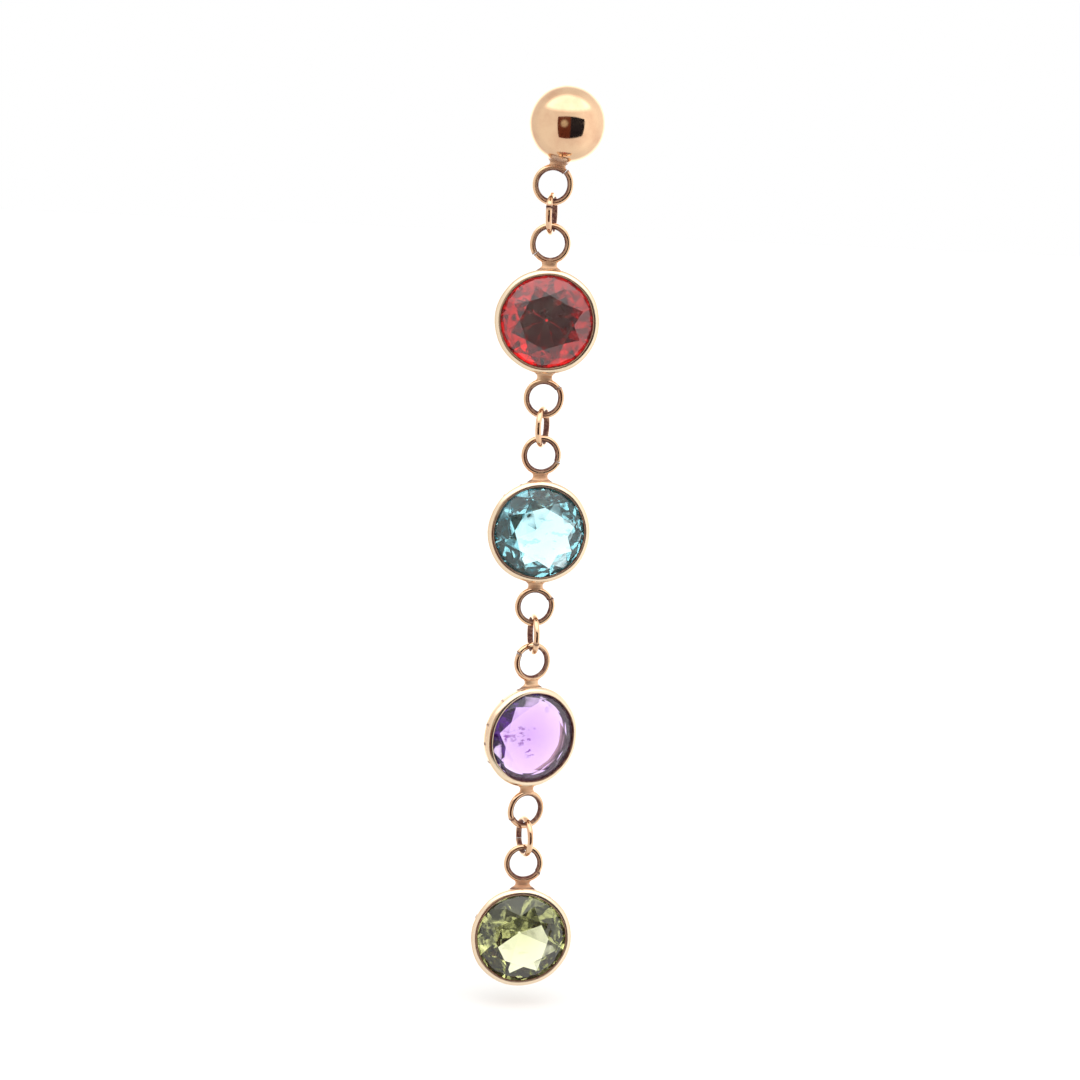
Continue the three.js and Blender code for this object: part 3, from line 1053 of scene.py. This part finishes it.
def shade_tab(points, grime, tabs, plan, settings):
    """Darkens the cup round the foot of each solder bridge."""
    half_foot = settings.setting.tab_foot / 2
    for index, p in enumerate(points):
        if grime[index] > 0.4:
            continue
        for side in tabs:
            if p.z * side < 0:
                continue
            across = abs(p.x) - half_foot
            behind = abs(p.y - plan.ring_plane) - settings.setting.tab_thickness * 0.85
            reach = max(across, behind)
            grime[index] = max(grime[index], 0.5 * (1 - smooth_step(0.0, 0.00012, reach)))


def nick_band(points, grime, burnish_and_highlight, order):
    """Dark nicks in the band of a cup, scattered by two waves that seldom agree."""
    for index, p in enumerate(points):
        if 0.2 < burnish_and_highlight[index] < 0.45:
            turn = math.atan2(p.x, p.z)
            wave = math.sin(9 * turn + 2 * order) * math.sin(23 * turn + order)
            grime[index] = max(grime[index], 0.9 * smooth_step(0.55, 0.85, wave))


# Stones


def brilliant(cut, twist):
    """Points and faces of a round brilliant cut about the middle of its girdle, with its table facing -Y."""
    points = []

    def level(count, start, reach, y):
        row = []
        for k in range(count):
            turn = (k + start) * 2 * math.pi / count + twist
            points.append(Vector((reach * math.sin(turn), y, reach * math.cos(turn))))
            row.append(len(points) - 1)
        return row

    table = level(8, 0.0, cut.table_radius, -cut.edge - cut.crown_height)
    star = level(8, 0.5, cut.star_radius, -cut.edge - cut.star_height)
    upper = level(16, 0.0, cut.radius, -cut.edge)
    lower = level(16, 0.0, cut.radius, cut.edge)
    pavilion_row = level(8, 0.5, cut.lower_radius, cut.edge + cut.lower_depth)
    culet_depth = (cut.radius - cut.culet_radius * HALF_STEP_COSINE) * cut.pavilion_slope
    culet = level(8, 0.5, cut.culet_radius, cut.edge + culet_depth)
    faces = [list(reversed(table)), culet]
    for k in range(8):
        n, before, main = (k + 1) % 8, (k + 7) % 8, 2 * k
        half, next_main = main + 1, (main + 2) % 16
        faces.append([table[k], table[n], star[k]])
        faces.append([table[k], star[k], upper[main], star[before]])
        faces.append([star[k], upper[half], upper[main]])
        faces.append([star[k], upper[next_main], upper[half]])
        for first, second in ((main, half), (half, next_main)):
            faces.append([upper[first], upper[second], lower[second], lower[first]])
        faces.append([pavilion_row[k], lower[main], lower[half]])
        faces.append([pavilion_row[k], lower[half], lower[next_main]])
        faces.append([culet[before], pavilion_row[before], lower[main], pavilion_row[k], culet[k]])
    return points, faces


class EARRING_OT_stones(bpy.types.Operator):
    """Build the four cut stones"""

    bl_idname = "earring.build_stones"
    bl_label = "Stones"

    def execute(self, context):
        settings = context.scene.earring
        plan, stones = Layout(settings), settings.stones
        for name in STONES:
            points, faces = brilliant(Cut(stones, name), getattr(stones, name).twist)
            place = plan.girdle_place(name, getattr(stones, name).yaw)
            mesh = add_mesh(f"{name}_gem", [place @ p for p in points], faces)
            point_outwards(mesh)
            material = stone_material(name, settings)
            add_object(f"{name}_gem", mesh, "drop", [material], [f"{name}_stone"])
        return {"FINISHED"}


# Studio


class EARRING_OT_stage(bpy.types.Operator):
    """Build the floor, the light and the camera"""

    bl_idname = "earring.build_stage"
    bl_label = "Studio"

    def execute(self, context):
        settings = context.scene.earring
        scene = context.scene
        scene.view_settings.view_transform = "Standard"
        scene.cycles.max_bounces = 24
        scene.cycles.transmission_bounces = 24
        scene.cycles.glossy_bounces = 16
        build_world(scene)
        build_floor(settings)
        build_card(settings)
        build_camera(scene)
        return {"FINISHED"}


def build_world(scene):
    """Soft white light, brighter from behind and from above."""
    world = bpy.data.worlds.new("Studio")
    scene.world = world
    world.use_nodes = True
    tree = world.node_tree
    background = tree.nodes["Background"]
    background.inputs["Color"].default_value = (1.0, 1.0, 1.0, 1.0)
    direction = tree.nodes.new("ShaderNodeTexCoord").outputs["Generated"]
    split = tree.nodes.new("ShaderNodeSeparateXYZ")
    tree.links.new(direction, split.inputs[0])
    front = ramp_between(tree, split.outputs["Y"], -0.1, 0.35, 0.9, 0.82)
    behind = ramp_between(tree, split.outputs["Y"], 0.56, 0.84, 0.0, 1.1)
    in_front = ramp_between(tree, split.outputs["Y"], -0.15, 0.15, 1.0, 0.0)
    above = multiply(tree, ramp_between(tree, split.outputs["Z"], 0.50, 0.70, 0.0, 1.0), in_front)
    right = ramp_between(tree, split.outputs["X"], 0.2, 0.9, 0.0, 0.25)
    total = front
    for extra in (behind, above, right):
        total = combine(tree, "ADD", total, extra)
    # What the stones gather is uneven, so that facets beside each other differ
    path = tree.nodes.new("ShaderNodeLightPath")
    in_stone = ramp_between(tree, path.outputs["Transmission Depth"], 0.0, 1.0)
    patches = add_node(tree, "ShaderNodeTexNoise", Scale=4.6, Detail=1.5, Roughness=0.5)
    tree.links.new(direction, patches.inputs["Vector"])
    uneven = ramp_between(tree, patches.outputs["Fac"], 0.40, 0.58, 0.35, 1.8)
    sides = ramp_between(tree, split.outputs["Y"], 0.45, 0.75, 0.0, 1.0)
    uneven = mix_values(tree, sides, uneven, 1.0)
    # The viewer's side is dark to a stone that throws the light straight back
    uneven = multiply(tree, uneven, ramp_between(tree, split.outputs["Y"], -0.97, -0.84, 0.04, 1.0))
    total = multiply(tree, total, mix_values(tree, in_stone, 1.0, uneven))
    # The backdrop itself is plain white
    seen = path.outputs["Is Camera Ray"]
    tree.links.new(mix_values(tree, seen, total, 1.0), background.inputs["Strength"])


def build_floor(settings):
    """A wide pale floor just under the last stone."""
    lowest = min(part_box("peridot_setting")[0].z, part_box("peridot_stone")[0].z)
    height = lowest - 0.00135
    half = 1.5
    corners = [(-half, -half, height), (half, -half, height), (half, half, height), (-half, half, height)]
    mesh = add_mesh("floor", corners, [[0, 1, 2, 3]])
    floor = bpy.data.objects.new("floor", mesh)
    bpy.context.scene.collection.objects.link(floor)
    material, tree, shader = new_material("floor")
    place = tree.nodes.new("ShaderNodeTexCoord").outputs["Object"]
    pale = tuple(settings.finish.floor)
    darker = tuple(0.97 * channel for channel in pale)
    clouds = noise_on(tree, place, 60.0, 2.0)
    tree.links.new(mix_colours(tree, clouds, pale, darker), shader.inputs["Base Color"])
    shader.inputs["Roughness"].default_value = 0.8
    shader.inputs["Specular IOR Level"].default_value = 0.0
    mesh.materials.append(material)
    floor.visible_glossy = False
    floor.visible_transmission = False


def build_card(settings):
    """The dark card round the camera, which shows only in reflections."""
    reach = 0.130
    y = -0.134
    left, right, low, high = (math.tan(math.radians(a)) * reach for a in (-29.0, 51.0, -43.5, 20.5))
    corners = [(left, y, low), (right, y, low), (right, y, high), (left, y, high)]
    mesh = add_mesh("dark_card", corners, [[0, 1, 2, 3]])
    card = bpy.data.objects.new("dark_card", mesh)
    bpy.context.scene.collection.objects.link(card)
    material, tree, shader = new_material("dark_card")
    place = tree.nodes.new("ShaderNodeTexCoord").outputs["Object"]
    split = tree.nodes.new("ShaderNodeSeparateXYZ")
    tree.links.new(place, split.inputs[0])
    left_half = ramp_between(tree, split.outputs["X"], 0.018, 0.026, 1.0, 0.0)
    brown = (0.11, 0.035, 0.022)
    ground = mix_colours(tree, left_half, tuple(settings.finish.card), brown)
    spot_place = add_node(tree, "ShaderNodeMapping", Location=(0.021, 0.134, 0.0))
    tree.links.new(place, spot_place.inputs["Vector"])
    reach_to_spot = tree.nodes.new("ShaderNodeVectorMath")
    reach_to_spot.operation = "LENGTH"
    tree.links.new(spot_place.outputs["Vector"], reach_to_spot.inputs[0])
    spot = ramp_between(tree, reach_to_spot.outputs["Value"], 0.012, 0.034, 1.0, 0.0)
    tree.links.new(mix_colours(tree, spot, ground, (0.42, 0.38, 0.30)), shader.inputs["Base Color"])
    shader.inputs["Roughness"].default_value = 1.0
    shader.inputs["Specular IOR Level"].default_value = 0.0
    mesh.materials.append(material)
    card.visible_camera = False
    card.visible_diffuse = False
    card.visible_shadow = False
    card.visible_transmission = False


def build_camera(scene):
    """The photograph's viewing place and angle, with the earring in the middle of the picture."""
    eye = Vector((-0.00029, -0.1326, -0.00212))
    aim = Vector((-0.00048, -0.00365, -0.02188))
    data = bpy.data.cameras.new("camera")
    camera = bpy.data.objects.new("camera", data)
    scene.collection.objects.link(camera)
    camera.location = eye
    look = (aim - eye).to_track_quat("-Z", "Y").to_euler()
    look.rotate_axis("Z", math.radians(2.5))
    camera.rotation_euler = look
    data.lens = 81.7
    data.sensor_width = 36.0
    data.clip_start = 0.001
    scene.camera = camera


# The panel and the run


class EARRING_PT_sidebar(bpy.types.Panel):
    """Sizes, colours and the steps that build the earring"""

    bl_idname = "EARRING_PT_sidebar"
    bl_label = "Drop earring"
    bl_space_type = "VIEW_3D"
    bl_region_type = "UI"
    bl_category = "Earring"

    def draw(self, context):
        settings = context.scene.earring
        for step in STEPS:
            self.layout.operator(step.bl_idname, text=step.bl_label)
        self.layout.prop(settings, "round_sides")
        for group in (settings.stud, settings.chain, settings.setting, settings.stones, settings.finish):
            box = self.layout.box()
            box.label(text=group.__doc__)
            for name in group.__annotations__:
                box.prop(group, name)


GROUPS = (
    EarringStud,
    EarringChain,
    EarringSetting,
    EarringGarnet,
    EarringTopaz,
    EarringAmethyst,
    EarringPeridot,
    EarringStones,
    EarringFinish,
    EarringProperties,
)
STEPS = (
    EARRING_OT_stud,
    EARRING_OT_nut,
    EARRING_OT_rings,
    EARRING_OT_settings,
    EARRING_OT_stones,
    EARRING_OT_stage,
)


def register():
    for kind in (*GROUPS, *STEPS, EARRING_PT_sidebar):
        bpy.utils.register_class(kind)
    bpy.types.Scene.earring = PointerProperty(type=EarringProperties)


def unregister():
    del bpy.types.Scene.earring
    for kind in reversed((*GROUPS, *STEPS, EARRING_PT_sidebar)):
        bpy.utils.unregister_class(kind)


def main():
    register()
    bpy.ops.earring.build_stud()
    bpy.ops.earring.build_nut()
    bpy.ops.earring.build_rings()
    bpy.ops.earring.build_settings()
    bpy.ops.earring.build_stones()
    bpy.ops.earring.build_stage()
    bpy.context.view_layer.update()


if __name__ == "__main__":
    main()
